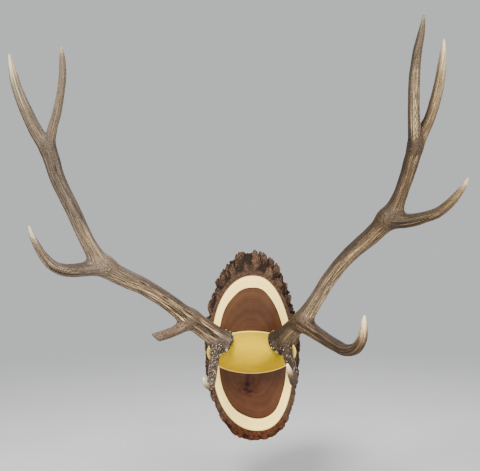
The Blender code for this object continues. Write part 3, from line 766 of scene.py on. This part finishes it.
def stretch_hide(finish):
    turns, rings = 220, 46
    builder = bmesh.new()
    edge = builder.verts.layers.float.new("cut_edge")
    reaches = [1 - (1 - (k + 1) / rings) ** 1.6 for k in range(rings)]
    shells = []
    for inset, order in ((0.0, reaches), (COVER_THICKNESS, reaches[::-1])):
        for rho in order:
            ring = [builder.verts.new(cover_point(rho, 2 * pi * i / turns, inset)) for i in range(turns)]
            for vertex in ring:
                vertex[edge] = float(fade(rho, 0.945, 0.965))
            shells.append(ring)
    for first, second in zip(shells, shells[1:]):
        strip(builder, first, second)
    for ring, inset in ((shells[0], 0.0), (shells[-1], COVER_THICKNESS)):
        fan(builder, builder.verts.new(cover_point(0.0, 0.0, inset)), ring)
    bmesh.ops.recalc_face_normals(builder, faces=builder.faces)
    cover = built("cover_of_hide", builder)
    cover.data.materials.append(finish)
    tools = []
    for side, (_, lines) in antlers.items():
        base, up = Vector(lines["beam"]["centres"][0]), Vector(lines["beam"]["ahead"][0])
        top = base - up * (BURR_BASE + 0.3 * MM)
        clear = PEDICLE_RADIUS + 0.4 * MM
        sleeve = rod(side + "_sleeve", top - up * SLEEVE_LENGTH, top, clear + COVER_THICKNESS)
        hole = rod(side + "_hole", base - up * 120 * MM, base + up * 60 * MM, clear)
        tools += [("UNION", sleeve), ("DIFFERENCE", hole)]
    cover = worked(cover, "cover_of_hide", tools)
    cover.data.shade_smooth()
    return cover


def hide_finish():
    """Soft napped buckskin, yellow and a little uneven, with painted light: lighter and more orange towards
    the bottom and the left, to lift the shade on the dome's lower part.
    """
    made, tree, shader, place = finish_of("tan_hide")
    cloud = grain(tree, place, 22, 4.0, 0.6)
    nap = grain(tree, place, 900, 4.0, 0.7)
    pore = add(tree, "ShaderNodeTexVoronoi", {"Vector": place, "Scale": 700.0}).outputs["Distance"]
    x, _, z = split(tree, place)
    # Painted light: the colour runs lighter and more orange lower down and further left, to lift the shade
    # where the dome turns downwards.
    level = weighed(tree, (z, -6.0), (x, -2.0), (cloud, 0.6))
    colour = ramp(tree, level, (0.0, (0.45, 0.31, 0.0028)), (0.35, (0.48, 0.3, 0.002)),
                  (0.75, (0.68, 0.4, 0.002)))
    nap_shade = ramp(tree, nap, (0.3, (0.86, 0.86, 0.86)), (0.7, (1.0, 1.0, 1.0)))
    colour = tinted(tree, colour, nap_shade)
    colour = mixed(tree, times(tree, read(tree, "cut_edge"), 0.7), colour, (0.8, 0.58, 0.17))
    coated(tree, shader, colour, 0.78, 0.05)
    height = weighed(tree, (nap, 0.6), (pore, 0.5))
    roughened(tree, shader, height, 0.35 * MM, 0.7)
    return made


cover = stretch_hide(hide_finish())
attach(cover, "root")
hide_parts("hide_cover")

# Skull plate: the sawn cap of the skull that carries both antlers. Dry, cream bone; only its pedicles show,
# in the narrow gap between the hide and the burrs.


def dry_bone_finish():
    made, tree, shader, place = finish_of("skull_bone")
    cloud, fine = grain(tree, place, 60, 4.0), grain(tree, place, 900, 3.0, 0.7)
    level = weighed(tree, (cloud, 0.7), (fine, 0.3))
    colour = ramp(tree, level, (0.3, (0.36, 0.27, 0.16)), (0.5, (0.6, 0.52, 0.38)), (0.7, (0.74, 0.69, 0.57)))
    coated(tree, shader, colour, 0.6)
    roughened(tree, shader, fine, 0.3 * MM, 0.6)
    return made


skull = nodes["skull_plate"]
skull.data.materials.clear()
skull.data.materials.append(dry_bone_finish())

# Walnut slice: cut slantwise from a log with its bark on, sanded and oiled. Chocolate heartwood with nested
# rings round a dark pith, a cream ring of sapwood, then thick bark whose plates and cracks run along the log.
SLICE_RISE = 30 * MM
FACE_CENTRE = (1.5 * MM, -2.4 * MM)
FACE_HALF = (94.2 * MM, 181 * MM)
HEART_HALF = (80 * MM, 154.5 * MM)
PITH = (-6 * MM, -79 * MM)
INNER_BARK = 9 * MM
PLATE_RELIEF = 14 * MM
LOG_HALF = (110 * MM, 132 * MM)
FACE_TURNS = 360
BARK_TURNS = 4 * FACE_TURNS
BACK_POCKETS = ((104 * MM, 136 * MM, 10.3 * MM, 2.3 * MM), (114.5 * MM, 125.5 * MM, 7.5 * MM, 12 * MM))
PLATE_SCREW_OFFSET = 32 * MM
RIM_STEPS = 5
BARK_STEPS = 48


def ease(t):
    t = min(1.0, max(0.0, t))
    return t * t * (3 - 2 * t)


def oval(angle, half_width, half_height):
    """A point of an upright oval, a little squarer than an ellipse and wider below."""
    c, s = cos(angle), sin(angle)
    x = half_width * (1 - 0.045 * s) * abs(c) ** 0.91 * (1 if c > 0 else -1)
    z = half_height * abs(s) ** 0.91 * (1 if s > 0 else -1)
    return FACE_CENTRE[0] - 0.03 * z + 7 * MM * s ** 4 + x, FACE_CENTRE[1] + z


def sap_edge(angle, extra=0.0):
    """The edge between sapwood and bark on the face."""
    return oval(angle, FACE_HALF[0] + extra, FACE_HALF[1] + extra)


def heart_edge(angle):
    """The edge between heartwood and sapwood; the ring of sapwood is wider above and below."""
    uneven = (0.7 * sin(5 * angle + 1) + 0.4 * sin(11 * angle)) * MM
    x, z = oval(angle, HEART_HALF[0] + uneven, HEART_HALF[1] + uneven)
    return x - 3 * MM * max(0.0, sin(angle)) ** 4, z


def bark_depth(angle):
    """How far the bark reaches out from the sapwood: thick at the ends, with a bulge at the lower left."""
    end = 30 if sin(angle) > 0 else 25
    lump = 1.6 * (sin(4 * angle + 0.7) + 0.7 * sin(7 * angle + 2.0))
    lump += 6 * exp(-(sin((angle + 2.05) / 2) / 0.16) ** 2)
    return (16 + (end - 16) * sin(angle) ** 4 + lump) * MM


def wood_rings(builder, y, rise, heart_steps, sap_steps):
    """One cut face out to the bark, as rings of points round the pith, each with its place in the rings."""
    age = builder.verts.layers.float["age"]
    rings = []
    for k in range(1, heart_steps + sap_steps + 1):
        ring = []
        for i in range(FACE_TURNS):
            angle = 2 * pi * i / FACE_TURNS
            heart, sap = heart_edge(angle), sap_edge(angle)
            if k <= heart_steps:
                reach = k / heart_steps
                x, z = (PITH[j] + (heart[j] - PITH[j]) * reach for j in range(2))
                up = sin(atan2(heart[1] - PITH[1], heart[0] - PITH[0]))
                years = reach ** exp(0.75 * up - 0.2 * up * up)
            else:
                reach = (k - heart_steps) / sap_steps
                x, z = (heart[j] + (sap[j] - heart[j]) * reach for j in range(2))
                years = 1 + 0.22 * reach
            vertex = builder.verts.new((x, y, z + rise))
            vertex[age] = years
            ring.append(vertex)
        rings.append(ring)
    fan(builder, builder.verts.new((PITH[0], y, PITH[1] + rise)), rings[0])
    for inner, outer in zip(rings, rings[1:]):
        strip(builder, inner, outer)
    return rings[-1]


def bark_height(around, along):
    """Height of the bark from 0 in a crack to 1, from its way round the log and its way along it."""
    bend = Vector((around * 30, along * 30, 2.0))
    around += 6 * MM * noise.noise(bend) + 2 * MM * noise.noise(bend * 5)
    along += 9 * MM * noise.noise(bend * 1.7 + Vector((9, 0, 0)))
    wide = Vector((around / (20 * MM), along / (50 * MM), 4.0))
    near, cells = noise.voronoi(wide)
    plate = ease((near[1] - near[0]) / 0.2)
    round_off = ease((near[1] - near[0]) / 0.6)
    near_small = noise.voronoi(Vector((around / (7 * MM), along / (15 * MM), 9.0)))[0]
    flake = ease((near_small[1] - near_small[0]) / 0.4)
    crags = noise.turbulence(Vector((around * 130, along * 90, 5.0)), 5, True)
    body = 0.4 + 0.14 * noise.cell(cells[0] * 7.3) + 0.24 * round_off + 0.12 * flake
    return plate * body + 0.28 * (crags - 0.4) + 0.05 * flake


def bark_point(i, k):
    """A point of the bark and its height: k runs out over the inner bark, round the plates, to the back."""
    angle = 2 * pi * i / BARK_TURNS
    if k <= RIM_STEPS:
        x, z = sap_edge(angle, INNER_BARK * k / RIM_STEPS)
        return Vector((x, -SLICE_THICKNESS, z)), 0.62
    share = (k - RIM_STEPS) / (BARK_STEPS - RIM_STEPS)
    front, down = min(1.0, share / 0.5), max(0.0, (share - 0.5) / 0.5)
    bevel = 0.2 + 0.15 * sin(angle)
    y = SLICE_THICKNESS * (bevel * (1 - cos(front * pi / 2)) + (1 - bevel) * down - 1)
    rise = SLICE_RISE * (1 + y / SLICE_THICKNESS)
    curve = sin(front * pi / 2)
    x, z = sap_edge(angle, INNER_BARK + (bark_depth(angle) - INNER_BARK) * curve)
    height = bark_height(*on_log(x, y, z + rise))
    full = bark_depth(angle) + PLATE_RELIEF * (0.63 + 0.37 * sin(angle)) * (height - 0.62)
    x, z = sap_edge(angle, INNER_BARK + (full - INNER_BARK) * curve)
    return Vector((x, y, z + rise)), 0.62 + (min(1.0, height) - 0.62) * ease(2.5 * front)


def on_log(x, y, z):
    """The way round the log and the way along it, for a point of the slanting slice."""
    slant = Vector((SLICE_THICKNESS, SLICE_RISE)).normalized()
    along, q = y * slant.x + z * slant.y, z * slant.x - y * slant.y
    return atan2(q / LOG_HALF[1], x / LOG_HALF[0]) * sum(LOG_HALF) / 2, along


def rounded_cutter(low, high, radius, deep):
    """A milled pocket with round ends, cut in from the back."""
    turns = 36
    builder = bmesh.new()
    rings = []
    for y in (MM, -deep):
        ring = []
        for i in range(2 * turns):
            angle = pi * (i if i < turns else i - 1) / (turns - 1)
            end = high if i < turns else low
            ring.append(builder.verts.new((radius * cos(angle), y, end + radius * sin(angle))))
        rings.append(ring)
    strip(builder, *rings)
    for ring in rings:
        builder.faces.new(ring)
    bmesh.ops.recalc_face_normals(builder, faces=builder.faces)
    return built("pocket", builder)


def screw_cutter(x):
    """The countersink for the head of one screw that holds the skull plate."""
    builder = bmesh.new()
    turn = Matrix.Translation((x, -1.5 * MM, 0)) @ Matrix.Rotation(radians(90), 4, "X")
    bmesh.ops.create_cone(builder, cap_ends=True, segments=48, radius1=6.4 * MM, radius2=2.4 * MM,
                          depth=4 * MM, matrix=turn)
    return built("countersink", builder)


def slice_object():
    """The slice as one closed skin: front face, bark round the rim, back face and what is cut into it."""
    builder = bmesh.new()
    layers = builder.verts.layers.float
    for name in ("age", "bark", "lift"):
        layers.new(name)
    age, bark, lift = (layers[name] for name in ("age", "bark", "lift"))
    front = wood_rings(builder, -SLICE_THICKNESS, 0.0, 46, 12)
    back = wood_rings(builder, 0.0, SLICE_RISE, 24, 6)
    rings = []
    for k in range(BARK_STEPS + 1):
        ring = []
        for i in range(BARK_TURNS):
            place, height = bark_point(i, k)
            vertex = builder.verts.new(place)
            vertex[age] = 1.22
            vertex[bark] = min(1.0, k)
            vertex[lift] = height
            ring.append(vertex)
        rings.append(ring)
    inner = []
    for i in range(BARK_TURNS):
        x, z = sap_edge(2 * pi * i / BARK_TURNS, 0.3 * MM)
        vertex = builder.verts.new((x, 0.0, z + SLICE_RISE))
        vertex[age], vertex[bark], vertex[lift] = 1.22, 1.0, 0.62
        inner.append(vertex)
    rings.append(inner)
    for ring, face_edge in ((rings[0], front), (inner, back)):
        for i in range(FACE_TURNS):
            outer = [ring[(4 * i + j) % BARK_TURNS] for j in range(5)]
            builder.faces.new((face_edge[(i + 1) % FACE_TURNS], face_edge[i], *outer))
    for lower, upper in zip(rings, rings[1:]):
        strip(builder, lower, upper)
    bmesh.ops.recalc_face_normals(builder, faces=builder.faces)
    slab = built("slice_of_walnut", builder)
    cutters = [rounded_cutter(*size) for size in BACK_POCKETS]
    cutters += [screw_cutter(side * PLATE_SCREW_OFFSET) for side in (-1, 1)]
    return worked(slab, "slice_of_walnut", [("DIFFERENCE", cutter) for cutter in cutters])


def spot(tree, place, centre, reach, wander):
    """How far each point is from a spot on the face, as a share of the spot's reach."""
    away = add(tree, "ShaderNodeVectorMath", {0: place, 1: (centre[0] * MM, 0.0, centre[1] * MM)},
               operation="SUBTRACT").outputs[0]
    away = add(tree, "ShaderNodeVectorMath", {0: away, 1: (1 / (reach[0] * MM), 0.0, 1 / (reach[1] * MM))},
               operation="MULTIPLY").outputs[0]
    away = add(tree, "ShaderNodeVectorMath", {0: away}, operation="LENGTH").outputs["Value"]
    return weighed(tree, away, (wander, 0.9), -0.45)


def redder_below(tree, z, bark):
    """The bark's colour, redder towards the foot of the slice."""
    return mixed(tree, step(tree, z, -0.125, -0.19), bark, tinted(tree, bark, (1.05, 0.6, 0.36)))


def walnut_finish():
    """Oiled walnut: nested rings, a fine grain, a dark pith, a cream sapwood ring, and rough bark outside."""
    made, tree, shader, place = finish_of("walnut")
    x, _, z = split(tree, place)
    age = read(tree, "age")
    flat = size_vector(tree, x, 0.0, z)
    wobble, cloud = grain(tree, flat, 10, 3.0), grain(tree, flat, 17, 4.0, 0.6)
    years = weighed(tree, age, (wobble, 0.16))
    uneven = grain(tree, size_vector(tree, years, 0.0, 0.0), 9, 4.0, 0.65)
    narrow = figure(tree, "SINE", times(tree, years, 150.0))
    pores = grain(tree, flat, 700, 5.0, 0.7)
    level = weighed(tree, (uneven, 0.55), (narrow, 0.018), (pores, 0.3), (cloud, 0.45), -0.13)
    heart = ramp(tree, level, (0.25, (0.024, 0.0077, 0.0022)), (0.45, (0.043, 0.0157, 0.0052)),
                 (0.65, (0.068, 0.0285, 0.0102)), (0.8, (0.089, 0.0395, 0.015)))
    redder = ramp(tree, times(tree, figure(tree, "ADD", z, 0.19), 3.2),
                  (0.1, (1.0, 0.85, 0.76)), (0.9, (1.0, 1.0, 1.0)))
    heart = tinted(tree, heart, redder)
    edge_shade = ramp(tree, age, (0.8, (1.0, 1.0, 1.0)), (0.93, (1.18, 1.2, 1.2)),
                      (0.975, (1.1, 1.12, 1.1)), (1.0, (0.7, 0.66, 0.6)))
    heart = tinted(tree, heart, edge_shade)
    wander = grain(tree, flat, 130, 3.0)
    spots = (((-9.5, -76), (9, 7.5), 0.1), ((-13, -87), (8, 6), 0.3), ((-4.5, -92), (10, 5.5), 0.34),
             ((-8.5, -60), (6, 22), 0.72), ((-8, -82), (36, 28), 0.62))
    for centre, reach, dark in spots:
        near = spot(tree, place, centre, reach, wander)
        stain = ramp(tree, near, (0.45, (dark, dark * 0.62, dark * 0.45)), (1.0, (1.0, 1.0, 1.0)))
        heart = tinted(tree, heart, stain)
    sap = ramp(tree, weighed(tree, (narrow, 0.03), (pores, 0.5), (uneven, 0.5)),
               (0.35, (0.9, 0.62, 0.17)), (0.6, (0.98, 0.74, 0.24)))
    wavy = weighed(tree, age, (pores, 0.012), -0.006)
    wood = mixed(tree, figure(tree, "GREATER_THAN", wavy, 1.0), heart, sap)

    lift = read(tree, "lift")
    coarse, fine = grain(tree, place, 190, 5.0, 0.7), grain(tree, place, 800, 5.0, 0.7)
    bark_level = weighed(tree, (lift, 0.6), (coarse, 1.1), (fine, 0.5), -0.74)
    outer = ramp(tree, bark_level, (0.1, (0.011, 0.0062, 0.004)), (0.32, (0.03, 0.0155, 0.0088)),
                 (0.55, (0.076, 0.041, 0.0235)), (0.75, (0.14, 0.081, 0.048)), (0.95, (0.25, 0.165, 0.105)))
    outer = redder_below(tree, z, outer)
    is_bark = read(tree, "bark")
    coated(tree, shader, mixed(tree, is_bark, wood, outer), weighed(tree, 0.42, (is_bark, 0.4)), 0.12)
    rough = times(tree, weighed(tree, (coarse, 0.9), (fine, 0.5)), is_bark)
    roughened(tree, shader, weighed(tree, (pores, 0.06), (rough, 1.4)), 1.3 * MM, 0.9)
    return made


walnut = walnut_finish()
slab = slice_object()
slab.data.materials.append(walnut)
slab.data.shade_smooth()
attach(slab, "root")
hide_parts("walnut_slice")


# Bark flakes: small scales that stand loose on the ridges of the bark, brown and grey like the rest of it.
# They came loose as the log dried, and keep clear of both cut faces.
FLAKE = 1.5 * MM
FLAKE_DEPTHS = (-24.2 * MM, -5.0 * MM)


def bark_flakes(slab, finish):
    """Flakes strewn over the bark, each turned and tilted its own way."""
    tree, inputs = geometry_tree("bark_flakes", (("Size", "Float"), ("Seed", "Int")))
    depth = split(tree, add(tree, "GeometryNodeInputPosition").outputs[0])[1]
    off_the_faces = times(tree, figure(tree, "GREATER_THAN", depth, FLAKE_DEPTHS[0]),
                          figure(tree, "LESS_THAN", depth, FLAKE_DEPTHS[1]))
    on_bark = times(tree, stored(tree, "bark"), off_the_faces)
    crowded = times(tree, on_bark, stored(tree, "lift"), clamp=True)
    spread = add(tree, "GeometryNodeDistributePointsOnFaces",
                 {"Mesh": inputs["Geometry"], "Distance Min": 2.2 * MM, "Density Max": 90000.0,
                  "Density Factor": crowded, "Seed": inputs["Seed"]}, distribute_method="POISSON")
    wide, long = random_value(tree, 0.5, 1.1, 1), random_value(tree, 0.8, 1.9, 2)
    turn = add(tree, "FunctionNodeAlignRotationToVector", {"Vector": spread.outputs["Normal"]},
               axis="Z").outputs[0]
    tilts = ((0.5, 4), (0.5, 5), (0.6, 6))
    lean = size_vector(tree, *(random_value(tree, -most, most, seed) for most, seed in tilts))
    turn = add(tree, "FunctionNodeRotateRotation", {0: turn, 1: lean}, rotation_space="LOCAL").outputs[0]
    flakes = add(tree, "GeometryNodeInstanceOnPoints",
                 {"Points": spread.outputs["Points"], "Instance": bead(tree, inputs["Size"], 1),
                  "Rotation": turn,
                  "Scale": size_vector(tree, wide, long, random_value(tree, 0.25, 0.5, 3))}).outputs[0]
    made = new_object("bark_flakes", slab.data.copy())
    return grown(made, tree, {"Size": FLAKE, "Seed": 11}, flakes, "bark_flakes", finish)


def flake_finish():
    """Dry bark: dark brown to grey tan, redder low down."""
    made, tree, shader, place = finish_of("bark_flakes")
    level = weighed(tree, (grain(tree, place, 120, 4.0, 0.7), 0.9), (grain(tree, place, 900, 3.0), 0.3),
                    -0.12)
    colour = ramp(tree, level, (0.3, (0.017, 0.0085, 0.0045)), (0.5, (0.066, 0.036, 0.02)),
                  (0.66, (0.17, 0.105, 0.065)))
    coated(tree, shader, redder_below(tree, split(tree, place)[2], colour), 0.85, 0.12)
    return made


flakes = bark_flakes(slab, flake_finish())
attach(flakes, "root")

# Fittings at the back: a zinc-plated keyhole plate let in flush, two short screws that hold it, and two long
# countersunk screws that come through the slice into the skull plate.

# Radius of the shank, radius of the head and length of the screws
SHORT_SCREW = (2.0 * MM, 3.6 * MM, 12 * MM)
LONG_SCREW = (2.6 * MM, 5.2 * MM, 44 * MM)


def zinc_finish():
    made, tree, shader, place = finish_of("zinc_steel")
    cloud, brushed = grain(tree, place, 160, 3.0), grain(tree, place, 2200, 2.0)
    colour = ramp(tree, cloud, (0.35, (0.42, 0.43, 0.43)), (0.65, (0.62, 0.62, 0.6)))
    coated(tree, shader, colour, weighed(tree, (brushed, 0.25), 0.25))
    shader.inputs["Metallic"].default_value = 1.0
    return made


def wood_screw(name, place, shank, head, length, finish):
    """A countersunk screw with a cross recess and a cut thread, driven in from the back at this place."""
    sizes = (("Shank", "Float"), ("Head", "Float"), ("Length", "Float"), ("Place", "Vector"))
    tree, inputs = geometry_tree(name, sizes)
    core, long = times(tree, inputs["Shank"], 0.72), inputs["Length"]
    neck = figure(tree, "SUBTRACT", inputs["Head"], inputs["Shank"])

    def raised(shape, height):
        moved = {"Geometry": shape, "Translation": size_vector(tree, 0.0, 0.0, height)}
        return add(tree, "GeometryNodeTransform", moved).outputs[0]

    def turned(low, high, depth, start):
        sizes = {"Vertices": 40, "Radius Top": high, "Radius Bottom": low, "Depth": depth}
        return raised(add(tree, "GeometryNodeMeshCone", sizes).outputs[0], start)

    rim = turned(inputs["Head"], inputs["Head"], 0.5 * MM, 0.0)
    cone = turned(inputs["Head"], core, neck, 0.4 * MM)
    rod = turned(core, core, times(tree, long, 0.8), 0.3 * MM)
    tip = turned(core, times(tree, core, 0.15), times(tree, long, 0.2), times(tree, long, 0.79))
    solid = add(tree, "GeometryNodeMeshBoolean", operation="UNION")
    for part in (rim, cone, rod, tip):
        tree.links.new(part, solid.inputs["Mesh 2"])
    recess = add(tree, "GeometryNodeJoinGeometry")
    for across, over in ((1.1, 0.26), (0.26, 1.1)):
        size = size_vector(tree, times(tree, inputs["Head"], across),
                           times(tree, inputs["Head"], over), 3 * MM)
        bar = add(tree, "GeometryNodeMeshCube", {"Size": size}).outputs[0]
        tree.links.new(bar, recess.inputs[0])
    cross = add(tree, "GeometryNodeMeshBoolean", {"Mesh 1": solid.outputs[0], "Mesh 2": recess.outputs[0]},
                operation="DIFFERENCE").outputs[0]
    spiral = add(tree, "GeometryNodeCurveSpiral",
                 {"Resolution": 20, "Rotations": 11.0, "Start Radius": core, "End Radius": core,
                  "Height": times(tree, long, 0.62)}).outputs[0]
    profile = add(tree, "GeometryNodeCurvePrimitiveCircle", {"Resolution": 3, "Radius": 0.5 * MM}).outputs[0]
    thread = add(tree, "GeometryNodeCurveToMesh", {0: spiral, 1: profile, "Fill Caps": True}).outputs[0]
    whole = add(tree, "GeometryNodeJoinGeometry")
    for part in (cross, raised(thread, times(tree, long, 0.2))):
        tree.links.new(part, whole.inputs[0])
    driven = add(tree, "GeometryNodeTransform",
                 {"Geometry": whole.outputs[0], "Translation": inputs["Place"],
                  "Rotation": (radians(90), 0.0, 0.0)})
    made = new_object(name, bpy.data.meshes.new(name))
    values = {"Shank": shank, "Head": head, "Length": length, "Place": place}
    return grown(made, tree, values, driven.outputs[0], name, finish)


zinc = zinc_finish()
for name, x, z, size in (("hanger_screw_lower", 0, 100 * MM, SHORT_SCREW),
                         ("hanger_screw_upper", 0, 140 * MM, SHORT_SCREW),
                         ("plate_screw_left", -PLATE_SCREW_OFFSET, 0, LONG_SCREW),
                         ("plate_screw_right", PLATE_SCREW_OFFSET, 0, LONG_SCREW)):
    driven = wood_screw(name + "_threaded", (x, -0.3 * MM, z), *size, zinc)
    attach(driven, "root")
    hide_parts(name)
nodes["hanger_plate"].data.materials.clear()
nodes["hanger_plate"].data.materials.append(zinc)

# Studio: a plain pale floor far below, soft lights, and a camera at the photo's place, level and straight on.
FLOOR_HEIGHT = -0.34

builder = bmesh.new()
bmesh.ops.create_circle(builder, cap_ends=True, segments=96, radius=3.2)
floor = built("floor", builder)
floor.data.transform(Matrix.Translation((0, 0, FLOOR_HEIGHT)))
pale, tree, shader, place = finish_of("pale_floor")
tone = ramp(tree, grain(tree, place, 3.0, 2.0), (0.3, (0.4, 0.4, 0.398)), (0.7, (0.42, 0.42, 0.418)))
coated(tree, shader, tone, 0.9)
away = add(tree, "ShaderNodeVectorMath", {0: place}, operation="LENGTH").outputs["Value"]
thin = ramp(tree, times(tree, away, 0.25), (0.2, (0.0, 0.0, 0.0)), (0.75, (1.0, 1.0, 1.0)))
clear = tree.nodes.new("ShaderNodeBsdfTransparent")
faded = add(tree, "ShaderNodeMixShader", {0: thin, 1: shader.outputs[0], 2: clear.outputs[0]})
tree.links.new(faded.outputs[0], tree.nodes["Material Output"].inputs["Surface"])
floor.data.materials.append(pale)

world = bpy.data.worlds.new("studio")
bpy.context.scene.world = world
world.use_nodes = True
world.node_tree.nodes["Background"].inputs["Color"].default_value = (0.97, 0.985, 1.0, 1.0)
world.node_tree.nodes["Background"].inputs["Strength"].default_value = 0.62


def soft_light(name, place, aim, size, power):
    light = bpy.data.lights.new(name, "AREA")
    light.size, light.energy = size, power
    made = bpy.data.objects.new(name, light)
    made.location = place
    made.rotation_euler = (Vector(aim) - Vector(place)).to_track_quat("-Z", "Y").to_euler()
    bpy.context.scene.collection.objects.link(made)


soft_light("key", (-0.9, -2.3, 2.5), (0, -0.1, 0.15), 1.0, 300)
soft_light("fill", (1.2, -2.6, -0.1), (0, -0.1, 0.1), 1.6, 110)
soft_light("rim", (0.6, 1.6, 2.0), (0, 0, 0.2), 1.4, 60)

lens = bpy.data.cameras.new("camera")
lens.sensor_width, lens.lens = 36.0, 63.83
camera = bpy.data.objects.new("camera", lens)
camera.location = (-0.027, -2.025, 0.274)
camera.rotation_euler = (radians(90), 0, 0)
bpy.context.scene.collection.objects.link(camera)
bpy.context.scene.camera = camera
